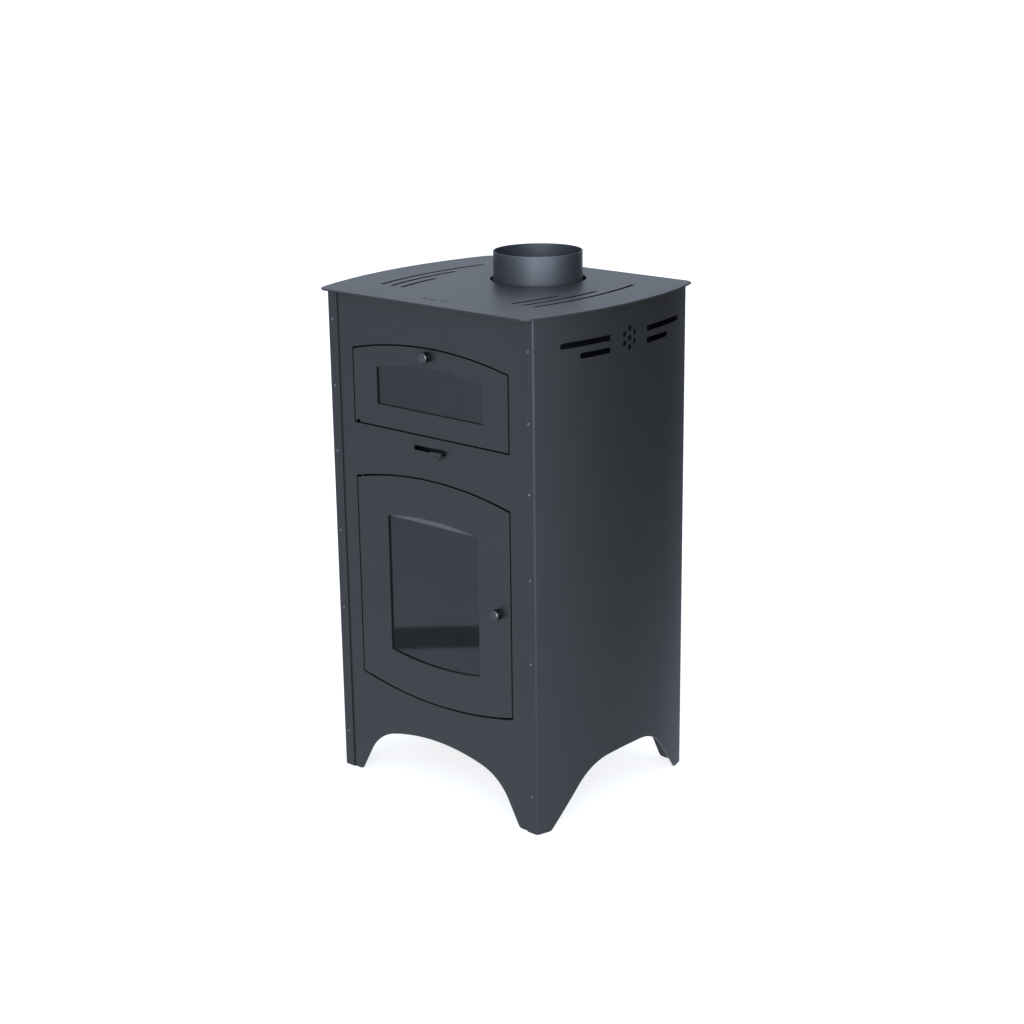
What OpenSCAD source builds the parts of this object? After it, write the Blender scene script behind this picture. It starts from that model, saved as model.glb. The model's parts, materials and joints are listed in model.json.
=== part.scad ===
// Wood burning stove with an oven above the firebox.
// Frame: +X to the right of the doors, +Y to the back, +Z up, millimetres.
// Origin: on the floor, under the middle of the casing.

/* [Casing] */
// Width across the front corners of the casing
casing_w = 448; // [440:1:560]
// Depth from the front flanges to the rear flanges
casing_d = 386; // [380:1:480]
// Height of the casing, up to the underside of the top plate
casing_h = 850; // [710:1:1050]
// How far each side bows out between its corners
side_bow = 29; // [10:1:45]
// Thickness of the side and back sheets
sheet_t = 2.5; // [1.5:0.5:3]
// Thickness of the front panel and of the door panels
front_t = 2.5; // [2:0.5:3]
// Width of the flanges that the sides fold round the front and the back
flange_w = 21; // [18:1:30]
// Outside radius of those folds
fold_r = 4; // [3.5:0.5:6]

/* [Feet] */
// Height of the arches between the feet
arch_h = 102; // [70:1:120]
// Width of a foot seen from the front
front_foot_w = 40; // [30:1:70]
// Width of a foot seen from the side
side_foot_w = 28; // [22:1:60]
// Slope of the inner edge of a foot on the front, in degrees
front_foot_slope = 61; // [50:1:70]
// Slope of the inner edge of a foot on the side, in degrees
side_foot_slope = 50; // [45:1:70]
// Radius of the shallow dome of the front and rear arches
front_dome_r = 390; // [300:5:600]
// Radius of the shallow dome of the side arches
side_dome_r = 600; // [300:5:700]
// Radius that blends a dome into a foot
shoulder_r = 95; // [40:1:100]
// Radius of the toe of a foot
toe_r = 8; // [3:1:12]

/* [Top plate] */
// Thickness of the top plate
top_t = 3; // [2:0.5:6]
// Overhang of the top plate over the front and the rear flanges
top_overhang = 19.5; // [17:0.5:35]
// Overhang of the top plate over the bowed sides
top_side_overhang = 6.5; // [2:0.5:20]
// Corner radius of the top plate
top_corner_r = 22; // [8:1:40]
// Width of the long curved slots
top_slot_w = 7; // [4:0.5:9]
// Distance from the bowed side to the first curved slot
top_slot_inset = 73; // [60:1:80]
// Distance between the curved slots
top_slot_pitch = 22.5; // [14:0.5:24]
// Distance from the front flanges to the front ends of the slots
top_slot_start = 73; // [45:1:90]
// Lengths of the three slots, the outer one first
top_slot_len = [244, 161, 91];

/* [Flue] */
// Outside radius of the flue collar
flue_r = 75; // [60:0.5:90]
// Wall of the flue collar
flue_t = 2; // [1.5:0.5:4]
// Height of the collar over the casing
flue_rise = 50; // [30:1:100]
// Distance from the flue axis to the rear flanges
flue_back = 113; // [112:1:125]
// Air gap round the collar in the top plate
flue_gap = 5.8; // [3:0.1:15]

/* [Doors] */
// Distance from a casing corner to the middle of the gap beside a door
door_side = 53; // [50:1:60]
// Gap round the doors
door_gap = 2.6; // [1.6:0.1:3]
// Rise of the curved door edges over their corners
door_sag = 20; // [12:1:26]
// Extra gap at the corners of the fire door, which lets its arched ends swing through
door_relief = 1.2; // [1.2:0.1:2]
// Height of the lower corners of the fire door
fire_z = 188.5; // [186:0.5:195]
// Distance from the upper corners of the fire door to the oven door
door_spacing = 93.5; // [90:0.5:110]
// Distance from the side of the fire door to its window
fire_win_side = 70; // [68:1:100]
// Distance from the corners of the fire door to the corners of its window
fire_win_end = 56.5; // [54:0.5:80]
// Rise of the curved edges of the fire window
fire_win_sag = 9; // [4:0.5:12]
// Distance from the top of the casing to the lower edge of the oven door
oven_drop = 218; // [215:1:260]
// Distance from the top of the casing to the upper corners of the oven door
oven_head = 93; // [90:1:110]
// Distance from the side of the oven door to its window
oven_win_side = 54; // [52:1:80]
// Distance from the lower edge of the oven door to its window
oven_win_low = 38; // [37:1:45]
// Distance from the upper corners of the oven door to the corners of its window
oven_win_high = 25.5; // [25:0.5:40]
// Rise of the curved upper edge of the oven window
oven_win_sag = 12.5; // [6:0.5:13]
// Thickness of the door glass
glass_t = 4; // [3:0.5:5]
// How far the fire glass laps over its window at the sides
glass_lap = 9; // [6:0.5:9]

/* [Hinges and latches] */
// Radius of the hinge pins
pin_r = 2; // [1.5:0.25:2]
// Distance from a hinge axis to the door edge beside it
hinge_edge = 7; // [6.5:0.5:9]
// Distance from a hinge axis to the back of the door panel
hinge_depth = 2.6; // [2.6:0.1:2.8]
// Radius of the door knobs
knob_r = 9; // [8:0.5:11]
// Length of the door knobs
knob_l = 11; // [10:0.5:18]
// Radius of the latch spindles
spindle_r = 4; // [3:0.25:4]
// Distance from the side of the fire door to its latch
fire_latch_edge = 26; // [24:0.5:27]
// Drop from the peak of the oven door to its latch
oven_latch_drop = 13.5; // [13:0.25:14]

/* [Air slide] */
// Width of the lever slot in the front panel
air_slot_w = 70; // [50:1:90]
// Height of the lever slot
air_slot_h = 8.5; // [6:0.5:12]
// Drop from the oven door to the middle of the lever slot
air_slot_drop = 22; // [20:1:26]
// Place of the lever at rest, to the right of the middle
air_rest_x = 22; // [-24:1:26]

/* [Stove body] */
// Thickness of the welded stove body plates
plate_t = 4; // [3:0.5:6]
// Air gap between the stove body and the casing corners
air_gap = 49; // [45:1:60]
// Thickness of the firebricks
brick_t = 30; // [20:1:32]
// Distance from the top of the firebricks to the baffle
brick_drop = 117; // [60:1:150]
// Thickness of the baffle
baffle_t = 25; // [15:1:30]
// Thickness of the oven box plates
oven_t = 2.5; // [1.5:0.5:4]
// Height of the ash pan
ash_h = 38; // [25:1:40]

/* [Fits] */
// Radial clearance of a pin or a spindle in its hole
run_fit = 0.05; // [0.03:0.01:0.09]
// Gap between parts that move past each other
slide_fit = 0.3; // [0.3:0.05:0.5]
// Gap round loose parts that lift or slide out
loose_fit = 1; // [0.8:0.1:2]
// Radial clearance of a screw in its hole
screw_fit = 0.25; // [0.15:0.05:0.4]

/* [Hidden] */

$fn = 64;
// Facets of the large arcs
arc_fn = 256;
// Length by which a cutting shape passes through what it cuts
cut = 1;
// Step between outlines that blend into each other, so that they cross cleanly
blend = 0.01;

// Places from the front to the back
front_y = -casing_d / 2;
back_y = casing_d / 2;
panel_y = front_y + sheet_t;
panel_back_y = panel_y + front_t;
hinge_y = panel_back_y + hinge_depth;
ring_depth = 17.5;
ring_back_y = panel_back_y + ring_depth;
gasket_t = 4.2;
frame_y = ring_back_y + gasket_t + slide_fit;
frame_t = 3;
body_y = frame_y + frame_t;
// Room behind the stove body
rear_gap = 29;
body_back_y = back_y - rear_gap;
back_panel_y = back_y - 2 * sheet_t;

// Widths of the stove body
body_x = casing_w / 2 - air_gap;
body_in_x = body_x - plate_t;
frame_x = body_x + 9;

// Bowed sides: one circle through both corners of a side
side_r = (pow(casing_d / 2, 2) + pow(side_bow, 2)) / (2 * side_bow);
side_cx = casing_w / 2 + side_bow - side_r;
flange_x = casing_w / 2 - flange_w;
flange_screw_x = casing_w / 2 - 10;
panel_w = casing_w - 2 * fold_r - 1;

// Screws up each flange: three close ones at the top, two below and one in the foot
screw_zs = concat([for (i = [0:2]) casing_h - 50 - 112.5 * i],
                  [for (i = [1:2]) casing_h - 275 - 140 * i], [65]);
screw_r = 1.5;
screw_head_r = 2.6;
screw_head_t = 1.2;
// Length of a screw behind its head
screw_l = 8;

// Vents near the top of the sides
vent_drop = 43;
vent_h = 9.5;
vent_pitch = 19.5;
vent_y = 7.5;
vent_half_gap = 46.5;
vent_lens = [casing_d / 2 - 89, casing_d / 2 - 127];
// A plain rosette of round holes between the vents
rosette_drop = 12;
rosette_r = 15;
rosette_hole_d = 9;

// Tabs of the front panel in the top plate
tab_x = 112;
tab_w = 11;
tab_fit = 0.3;

// Flue
flue_y = back_y - flue_back;
roof_z = casing_h - 50;
flue_in_r = flue_r - flue_t;

// Doors
door_half = casing_w / 2 - door_side;
oven_z = casing_h - oven_drop;
oven_top = casing_h - oven_head;
fire_top = oven_z - door_spacing;
door_r = (pow(door_half, 2) + pow(door_sag, 2)) / (2 * door_sag);
fire_low = fire_z - door_sag;
fire_peak = fire_top + door_sag;
oven_peak = oven_top + door_sag;
leaf_half = door_half - door_gap / 2;

// Windows
fire_win_x = door_half - fire_win_side;
fire_win_z = fire_z + fire_win_end;
strip_z = fire_top - fire_win_end;
oven_win_x = door_half - oven_win_side;
oven_win_z = oven_z + oven_win_low;
oven_win_top = oven_top - oven_win_high;

// Hinges: the fire door turns about a vertical axis, the oven door about a level one
fire_hinge_x = -leaf_half + hinge_edge;
oven_hinge_z = oven_z + door_gap / 2 + hinge_edge;
bracket_t = 8;
bracket_clear = 3;
bracket_half = 5;
ear_t = 8;
// How far the curved door edge has dropped where the hinge axis meets it
fire_hinge_drop = door_r - sqrt(pow(door_r, 2) - pow(fire_hinge_x, 2));
fire_bracket_zs = [fire_low + fire_hinge_drop - bracket_clear - bracket_t,
                   fire_peak - fire_hinge_drop + bracket_clear];
oven_bracket_x = door_half + bracket_clear;

// Inner frames of the doors
fire_ring_x = fire_win_x + glass_lap + 8;
fire_ring_w = 18;
fire_ring_low = fire_z + 5.5;
fire_ring_high = fire_top - 32.5;
fire_ring_end_w = 13;
oven_ring_x = oven_win_x + 17;
oven_ring_w = 16;
oven_ring_low = oven_win_z - 10;
oven_ring_high = oven_top - 7;
oven_ring_end_w = 7;
oven_ring_foot_w = 11;
oven_pin_x = oven_ring_x + oven_ring_w - 6;
gasket_w = 7;

// Door glass
tape_t = 1;
glass_y = panel_back_y + tape_t;
glass_back_y = glass_y + glass_t;
fire_glass_x = fire_win_x + glass_lap;
fire_glass_low = fire_win_z - fire_win_sag - 10;
fire_glass_high = fire_ring_high - 4;
oven_glass_x = oven_win_x + 9;
oven_glass_low = oven_win_z - 8;
oven_glass_high = oven_ring_high - 1.5;
clip_t = 1.5;
clip_w = 14;

// Latches
knob_gap = 2.5;
knob_front_y = panel_y - knob_gap - knob_l;
bush_r = 6;
bush_end_y = panel_back_y + 9.5;
cam_y = bush_end_y + 0.5;
cam_t = 3;
cam_l = 22;
fire_latch_x = door_half - fire_latch_edge;
fire_latch_z = (fire_z + fire_top) / 2;
oven_latch_z = oven_peak - oven_latch_drop;
lip_t = 2;
lip_y = cam_y - 1.5 - lip_t;

// Air slide
air_z = oven_z - air_slot_drop;
slide_t = 1.7;
slide_y = frame_y - slide_fit - slide_t;
slide_half_h = 15;
// The slide reaches over both air holes from one end of its travel to the other
slide_left = -84;
slide_right = 92;
air_hole_w = 28;
air_hole_h = 12;
air_hole_x = 40;
// Lever place with the air holes fully open
air_open_x = -24;
lever_t = 3;
lever_stem = 14;
lever_w = 24;
lever_front_y = panel_y - 10;

// Stove body levels
floor_z = fire_z - 0.5;
floor_top = floor_z + plate_t;
// The front frame reaches below the fire door, so that its lower gap looks on to it
frame_low = fire_low - 18;
fire_mouth_x = fire_ring_x - 4;
fire_mouth_high = fire_ring_high - 2;
oven_mouth_x = oven_ring_x - 3;
oven_mouth_low = oven_ring_low + 4;
oven_mouth_high = oven_ring_high - 2;
hearth_z = floor_top + ash_h + 8;
hearth_t = 5;
brick_z = hearth_z + hearth_t;
baffle_z = fire_top + 21.5;
brick_h = baffle_z - brick_z - brick_drop;
oven_in_x = oven_mouth_x + 9;
oven_in_low = oven_mouth_low - 8;
oven_in_high = oven_mouth_high + 9;
oven_back_y = body_back_y - plate_t - 50;
rack_z = oven_mouth_low + 7;
rod_r = 2;
runner_t = 2;

// Rails under the stove body
rail_h = 50;
rail_w = 30;
rail_x = body_x - 40;
rail_nose = frame_low - 2;
bolt_r = 3;
rail_bolt_ys = [body_y + 60, body_back_y - 60];

// Firebricks and grate
brick_y0 = body_y + 14;
brick_y1 = body_back_y - plate_t - brick_t - loose_fit;
grate_w = 2 * (body_in_x - brick_t - 41);
grate_l = brick_y1 - brick_y0 - 88;
grate_t = 12;
grate_y = (brick_y0 + brick_y1) / 2;

casing_color = [0.24, 0.26, 0.29];
iron_color = [0.16, 0.16, 0.17];
steel_color = [0.55, 0.56, 0.58];
brick_color = [0.78, 0.72, 0.62];
rope_color = [0.35, 0.35, 0.36];

// ---- shared shapes ----

// A box from its lowest to its highest corner
module block(low, high) {
    translate(low) cube(high - low);
}

// Extrudes an outline drawn in X and Z from y0 to y1
module along_y(y0, y1) {
    translate([0, y1, 0]) rotate([90, 0, 0]) linear_extrude(height = y1 - y0) children();
}

// Extrudes an outline drawn in Y and Z from x0 to x1
module along_x(x0, x1) {
    translate([x0, 0, 0]) rotate([90, 0, 90]) linear_extrude(height = x1 - x0) children();
}

module rod_y(r, y0, y1, x, z) {
    translate([x, y1, z]) rotate([90, 0, 0]) cylinder(r = r, h = y1 - y0);
}

module rod_x(r, x0, x1, y, z) {
    translate([x0, y, z]) rotate([0, 90, 0]) cylinder(r = r, h = x1 - x0);
}

module both_sides() {
    children();
    mirror([1, 0, 0]) children();
}

// A rectangle about the middle, from z0 to z1
module rect(half_w, z0, z1) {
    translate([-half_w, z0]) square([2 * half_w, z1 - z0]);
}

// Half of the opening between two feet is solved from the circle that touches both the
// dome and the sloping edge of the foot, then mirrored.
function shoulder(half_w, slope, dome_r) =
    let (along = [-cos(slope), sin(slope)], inward = [-sin(slope), -cos(slope)],
         p = [half_w, dome_r - arch_h] + shoulder_r * inward,
         b = p * along, c = p * p - pow(dome_r - shoulder_r, 2),
         s = -b + sqrt(b * b - c))
    [half_w, 0] + shoulder_r * inward + s * along;

// The corner between the floor and the sloping edge of a foot, less the round toe
module toe_cut(half_w, slope) {
    run = toe_r / tan((180 - slope) / 2);
    touch = [half_w - run * cos(slope), run * sin(slope)];
    difference() {
        polygon([[half_w - toe_r, -cut], [half_w + run, -cut], [half_w + run, toe_r], touch,
                 touch - [toe_r, 0]]);
        translate([half_w + run, toe_r]) circle(r = toe_r + blend);
    }
}

module arch_opening(half_w, slope, dome_r) {
    mid = shoulder(half_w, slope, dome_r);
    touch = mid + shoulder_r * [sin(slope), cos(slope)];
    dome_mid = [0, arch_h - dome_r];
    beyond = dome_mid + (mid - dome_mid) * (dome_r + 20) / norm(mid - dome_mid);
    intersection() {
        translate(dome_mid) circle(r = dome_r, $fn = arc_fn);
        polygon([[half_w, 0], touch, mid, beyond, [-beyond[0], beyond[1]], [-mid[0], mid[1]],
                 [-touch[0], touch[1]], [-half_w, 0], [-half_w, -cut], [half_w, -cut]]);
    }
    both_sides() {
        translate(mid) circle(r = shoulder_r + blend, $fn = arc_fn / 2);
        toe_cut(half_w, slope);
    }
}

// A door outline: straight sides and one or two curved ends
module door_outline(half_w, low, high, sag, grow, curved_low) {
    r = (pow(half_w, 2) + pow(sag, 2)) / (2 * sag);
    bottom = curved_low ? low - sag : low;
    intersection() {
        rect(half_w + grow, bottom - grow, high + sag + grow);
        translate([0, high + sag - r]) circle(r = r + grow, $fn = arc_fn);
        if (curved_low) translate([0, low - sag + r]) circle(r = r + grow, $fn = arc_fn);
    }
}

module fire_outline(grow, relief) {
    door_outline(door_half, fire_z + relief, fire_top - relief, door_sag + relief, grow, true);
}

module oven_outline(grow) {
    door_outline(door_half, oven_z, oven_top, door_sag, grow, false);
}

module fire_window() {
    door_outline(fire_win_x, fire_win_z, strip_z, fire_win_sag, 0, true);
}

module oven_window() {
    door_outline(oven_win_x, oven_win_z, oven_win_top, oven_win_sag, 0, false);
}

// A rectangular ring with its own leg widths
module ring(in_x, leg, low, low_w, high, high_w) {
    difference() {
        rect(in_x + leg, low - low_w, high + high_w);
        rect(in_x, low, high);
    }
}

// ---- casing ----

// Right half of a plan with a bowed side and two round corners
module bowed_half(r, corner_r, half_d) {
    corner_y = half_d - corner_r;
    corner_x = side_cx + sqrt(pow(r - corner_r, 2) - pow(corner_y, 2));
    angle = asin(corner_y / (r - corner_r));
    far = r + 50;
    intersection() {
        translate([side_cx, 0]) circle(r = r - blend, $fn = arc_fn);
        translate([side_cx, 0]) polygon([[0, 0], far * [cos(angle), -sin(angle)],
                                         far * [cos(angle), sin(angle)]]);
        translate([0, -half_d]) square([far, 2 * half_d]);
    }
    for (end = [-1, 1]) translate([corner_x, end * corner_y]) circle(r = corner_r);
    translate([0, -half_d + blend]) square([corner_x, 2 * (half_d - blend)]);
}

// Plan of one side sheet: a bowed web with a flange folded in at each end
module side_plan() {
    difference() {
        bowed_half(side_r, fold_r, casing_d / 2 + blend);
        bowed_half(side_r - sheet_t, fold_r - sheet_t, casing_d / 2 - sheet_t + blend);
        translate([-cut, front_y - cut]) square([flange_x + cut, casing_d + 2 * cut]);
    }
}

// Outlines of the vents, drawn in Y and Z: outer ends round, inner ends square
module vents() {
    for (row = [0:1], end = [-1, 1]) translate([vent_y, casing_h - vent_drop - row * vent_pitch])
        scale([end, 1]) {
            translate([vent_half_gap, -vent_h]) square([vent_lens[row] - vent_h / 2, vent_h]);
            translate([vent_half_gap + vent_lens[row] - vent_h / 2, -vent_h / 2])
                circle(d = vent_h);
        }
    translate([vent_y, casing_h - vent_drop - rosette_drop]) {
        circle(d = rosette_hole_d);
        for (i = [0:5]) rotate(60 * i + 30) translate([rosette_r, 0]) circle(d = rosette_hole_d);
    }
}

module side_panel() {
    difference() {
        linear_extrude(height = casing_h) side_plan();
        along_x(flange_x - cut, casing_w / 2 + side_bow + cut)
            arch_opening(casing_d / 2 - side_foot_w, side_foot_slope, side_dome_r);
        along_x(casing_w / 2 - fold_r, casing_w / 2 + side_bow + cut) vents();
        for (z = screw_zs)
            rod_y(screw_r + screw_fit, front_y - cut, back_y + cut, flange_screw_x, z);
    }
}

module left_side_panel() {
    color(casing_color) mirror([1, 0, 0]) side_panel();
}

module right_side_panel() {
    color(casing_color) side_panel();
}

module front_panel() {
    color(casing_color) difference() {
        union() {
            block([-panel_w / 2, panel_y, 0], [panel_w / 2, panel_back_y, casing_h]);
            both_sides() block([tab_x - tab_w / 2, panel_y, casing_h],
                               [tab_x + tab_w / 2, panel_back_y, casing_h + top_t]);
        }
        along_y(panel_y - cut, panel_back_y + cut) {
            fire_outline(door_gap / 2, 0);
            oven_outline(door_gap / 2);
            rect(air_slot_w / 2, air_z - air_slot_h / 2, air_z + air_slot_h / 2);
            arch_opening(casing_w / 2 - front_foot_w, front_foot_slope, front_dome_r);
        }
        both_sides() for (z = screw_zs)
            rod_y(screw_r + screw_fit, panel_y - cut, panel_back_y + cut, flange_screw_x, z);
    }
}

module back_panel() {
    slot_l = 60;
    slot_w = 8;
    color(casing_color) difference() {
        block([-panel_w / 2, back_panel_y, 0], [panel_w / 2, back_y - sheet_t, casing_h]);
        along_y(back_panel_y - cut, back_y) {
            arch_opening(casing_w / 2 - front_foot_w, front_foot_slope, front_dome_r);
            both_sides() for (z = [casing_h - 60, floor_z - 30], i = [0:3])
                translate([30, z - 18 * i + 18]) {
                    square([slot_l, slot_w]);
                    for (x = [0, slot_l]) translate([x, slot_w / 2]) circle(d = slot_w);
                }
        }
        both_sides() for (z = screw_zs)
            rod_y(screw_r + screw_fit, back_panel_y - cut, back_y, flange_screw_x, z);
    }
}

// Plan of the top plate, a little larger than the casing all round
module top_plan() {
    both_sides() bowed_half(side_r + top_side_overhang, top_corner_r, casing_d / 2 + top_overhang);
}

// One curved slot: a strip of a ring with round ends
module curved_slot(inset, y0, y1) {
    r = side_r - inset;
    a0 = asin(y0 / r);
    a1 = asin(y1 / r);
    far = r + 50;
    translate([side_cx, 0]) {
        intersection() {
            difference() {
                circle(r = r + top_slot_w / 2 - blend, $fn = arc_fn);
                circle(r = r - top_slot_w / 2 + blend, $fn = arc_fn);
            }
            polygon([[0, 0], far * [cos(a0), sin(a0)], far * [cos(a1), sin(a1)]]);
        }
        for (a = [a0, a1]) translate(r * [cos(a), sin(a)]) circle(d = top_slot_w, $fn = 32);
    }
}

module top_plate() {
    first_y = front_y + top_slot_start;
    small_slot = [14, 3];
    small_pitch = 20;
    small_y = front_y + 20;
    color(casing_color) translate([0, 0, casing_h]) difference() {
        linear_extrude(height = top_t) top_plan();
        translate([0, 0, -cut]) linear_extrude(height = top_t + 2 * cut) {
            both_sides() {
                for (i = [0:2]) curved_slot(top_slot_inset + i * top_slot_pitch,
                                            first_y, first_y + top_slot_len[i]);
                translate([tab_x - tab_w / 2 - tab_fit, panel_y - tab_fit])
                    square([tab_w + 2 * tab_fit, front_t + 2 * tab_fit]);
            }
            // a plain row of short slots at the front edge
            for (i = [-1:1]) translate([small_pitch * i, small_y]) square(small_slot, center = true);
        }
        translate([0, flue_y, -cut]) cylinder(r = flue_r + flue_gap, h = top_t + 2 * cut, $fn = 128);
    }
}

// Angles under the top plate that hold it to the front and back panels
module top_brackets() {
    leg = 20;
    half_w = 15;
    x = casing_w / 2 - 60;
    color(casing_color) both_sides() {
        block([x - half_w, panel_back_y, casing_h - leg],
              [x + half_w, panel_back_y + sheet_t, casing_h]);
        block([x - half_w, panel_back_y, casing_h - sheet_t],
              [x + half_w, panel_back_y + leg, casing_h]);
        block([x - half_w, back_panel_y - sheet_t, casing_h - leg],
              [x + half_w, back_panel_y, casing_h]);
        block([x - half_w, back_panel_y - leg, casing_h - sheet_t],
              [x + half_w, back_panel_y, casing_h]);
    }
}

// Pan head screws through the flanges, the heads outside
module flange_screw(x, z, head_y, out) {
    y0 = out < 0 ? head_y - screw_head_t : head_y - screw_l;
    y1 = out < 0 ? head_y + screw_l : head_y + screw_head_t;
    rod_y(screw_r, y0, y1, x, z);
    rod_y(screw_head_r, min(head_y, head_y + out * screw_head_t),
          max(head_y, head_y + out * screw_head_t), x, z);
}

module front_screws() {
    color(steel_color) both_sides() for (z = screw_zs)
        flange_screw(flange_screw_x, z, front_y, -1);
}

module back_screws() {
    color(steel_color) both_sides() for (z = screw_zs)
        flange_screw(flange_screw_x, z, back_y, 1);
}

// ---- base ----

// Two angles from the front panel to the back panel carry the stove body. Their noses are
// cut low, to pass under the fire door.
module base_rails() {
    color(iron_color) both_sides() difference() {
        union() {
            block([rail_x - rail_w, body_y, floor_z - frame_t], [rail_x, back_panel_y, floor_z]);
            block([rail_x - frame_t, body_y, floor_z - rail_h], [rail_x, back_panel_y, floor_z]);
            block([rail_x - frame_t, panel_back_y, floor_z - rail_h], [rail_x, body_y, rail_nose]);
            block([rail_x - rail_w, panel_back_y, floor_z - rail_h],
                  [rail_x, panel_back_y + frame_t, rail_nose]);
            block([rail_x - rail_w, back_panel_y - frame_t, floor_z - rail_h],
                  [rail_x, back_panel_y, floor_z]);
        }
        for (y = rail_bolt_ys) translate([rail_x - rail_w / 2, y, floor_z - frame_t - cut])
            cylinder(r = bolt_r + screw_fit, h = frame_t + 2 * cut);
    }
}

// Bolts that hold the stove body floor to the rails
module rail_bolts() {
    head_r = 5.5;
    head_h = 4;
    color(steel_color) both_sides() for (y = rail_bolt_ys)
        translate([rail_x - rail_w / 2, y, 0]) {
            translate([0, 0, floor_z - frame_t - head_h]) cylinder(r = head_r, h = head_h, $fn = 6);
            translate([0, 0, floor_z - frame_t - head_h]) cylinder(r = bolt_r, h = head_h + 10);
        }
}

// ---- stove body ----

module body_floor() {
    color(iron_color) difference() {
        block([-body_in_x, body_y, floor_z], [body_in_x, body_back_y - plate_t, floor_top]);
        both_sides() for (y = rail_bolt_ys) translate([rail_x - rail_w / 2, y, floor_z - cut])
            cylinder(r = bolt_r + screw_fit, h = plate_t + 2 * cut);
    }
}

module body_side() {
    block([body_in_x, body_y, floor_z], [body_x, body_back_y, roof_z]);
}

module body_right_plate() {
    color(iron_color) body_side();
}

module body_left_plate() {
    color(iron_color) mirror([1, 0, 0]) body_side();
}

module body_back_plate() {
    color(iron_color) block([-body_in_x, body_back_y - plate_t, floor_z],
                            [body_in_x, body_back_y, roof_z]);
}

module body_roof() {
    color(iron_color) difference() {
        block([-body_x, body_y, roof_z], [body_x, body_back_y, roof_z + plate_t]);
        translate([0, flue_y, roof_z - cut])
            cylinder(r = flue_in_r, h = plate_t + 2 * cut, $fn = 128);
    }
}

module body_front_frame() {
    color(iron_color) difference() {
        block([-frame_x, frame_y, frame_low], [frame_x, body_y, roof_z + plate_t]);
        along_y(frame_y - cut, body_y + cut) {
            rect(fire_mouth_x, floor_top, fire_mouth_high);
            rect(oven_mouth_x, oven_mouth_low, oven_mouth_high);
            for (x = [-air_hole_x, air_hole_x]) translate([x, air_z])
                square([air_hole_w, air_hole_h], center = true);
        }
    }
}

module flue_collar() {
    color(casing_color) translate([0, flue_y, 0]) rotate_extrude($fn = 128)
        translate([flue_in_r, roof_z + plate_t])
            square([flue_t, casing_h + flue_rise - roof_z - plate_t]);
}

// ---- oven ----

module oven_floor() {
    color(iron_color) block([-oven_in_x, body_y, oven_in_low - oven_t],
                            [oven_in_x, oven_back_y, oven_in_low]);
}

module oven_roof() {
    color(iron_color) block([-oven_in_x, body_y, oven_in_high],
                            [oven_in_x, oven_back_y, oven_in_high + oven_t]);
}

module oven_wall() {
    block([oven_in_x, body_y, oven_in_low - oven_t],
          [oven_in_x + oven_t, oven_back_y, oven_in_high + oven_t]);
}

module oven_right_wall() {
    color(iron_color) oven_wall();
}

module oven_left_wall() {
    color(iron_color) mirror([1, 0, 0]) oven_wall();
}

module oven_back_wall() {
    color(iron_color) block([-oven_in_x - oven_t, oven_back_y, oven_in_low - oven_t],
                            [oven_in_x + oven_t, oven_back_y + oven_t, oven_in_high + oven_t]);
}

// Ledges on the oven walls that carry the rack
module oven_runners() {
    ledge = 16;
    color(steel_color) both_sides()
        block([oven_in_x - ledge, body_y + 2, rack_z - rod_r - runner_t],
              [oven_in_x, oven_back_y - 2, rack_z - rod_r]);
}

// A rack: thin wires let into a frame of square bar
module oven_rack() {
    half_w = oven_mouth_x - 4;
    y0 = body_y + 6;
    y1 = oven_back_y - 6;
    bar = 2 * rod_r;
    wire_r = 1.5;
    wires = 9;
    color(steel_color) {
        difference() {
            block([-half_w, y0, rack_z - rod_r], [half_w, y1, rack_z + rod_r]);
            block([-half_w + bar, y0 + bar, rack_z - bar], [half_w - bar, y1 - bar, rack_z + bar]);
        }
        for (i = [1:wires])
            rod_y(wire_r, y0 + 1, y1 - 1, -half_w + 2 * half_w * i / (wires + 1), rack_z + rod_r - 0.7);
    }
}

// ---- firebox ----

module baffle_plate() {
    smoke_gap = 80;
    color(brick_color) block([-body_in_x + loose_fit, body_y + smoke_gap, baffle_z],
                             [body_in_x - loose_fit, body_back_y - plate_t - loose_fit,
                              baffle_z + baffle_t]);
}

module baffle_supports() {
    leg = 15;
    color(iron_color) both_sides() {
        block([body_in_x - leg, body_y + 75, baffle_z - frame_t],
              [body_in_x, body_back_y - plate_t, baffle_z]);
        block([body_in_x - frame_t, body_y + 75, baffle_z - leg],
              [body_in_x, body_back_y - plate_t, baffle_z]);
    }
}

// A firebrick with a cut across its face for expansion
module side_brick() {
    groove = 4;
    mid_y = (brick_y0 + brick_y1) / 2;
    difference() {
        block([body_in_x - brick_t, brick_y0, brick_z],
              [body_in_x - 0.5, brick_y1, brick_z + brick_h]);
        block([body_in_x - brick_t - cut, mid_y - groove / 2, brick_z - cut],
              [body_in_x - brick_t + groove, mid_y + groove / 2, brick_z + brick_h + cut]);
    }
}

module brick_right() {
    color(brick_color) side_brick();
}

module brick_left() {
    color(brick_color) mirror([1, 0, 0]) side_brick();
}

module brick_back() {
    back_face = body_back_y - plate_t;
    color(brick_color) block([-body_in_x + 0.5, back_face - brick_t, brick_z],
                             [body_in_x - 0.5, back_face - 0.5, brick_z + brick_h]);
}

// The plate over the ash pan, with a seat for the grate
module hearth_plate() {
    seat = 8;
    color(iron_color) difference() {
        block([-body_in_x, body_y, hearth_z], [body_in_x, body_back_y - plate_t, brick_z]);
        block([-grate_w / 2 + seat, grate_y - grate_l / 2 + seat, hearth_z - cut],
              [grate_w / 2 - seat, grate_y + grate_l / 2 - seat, brick_z + cut]);
    }
}

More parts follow.
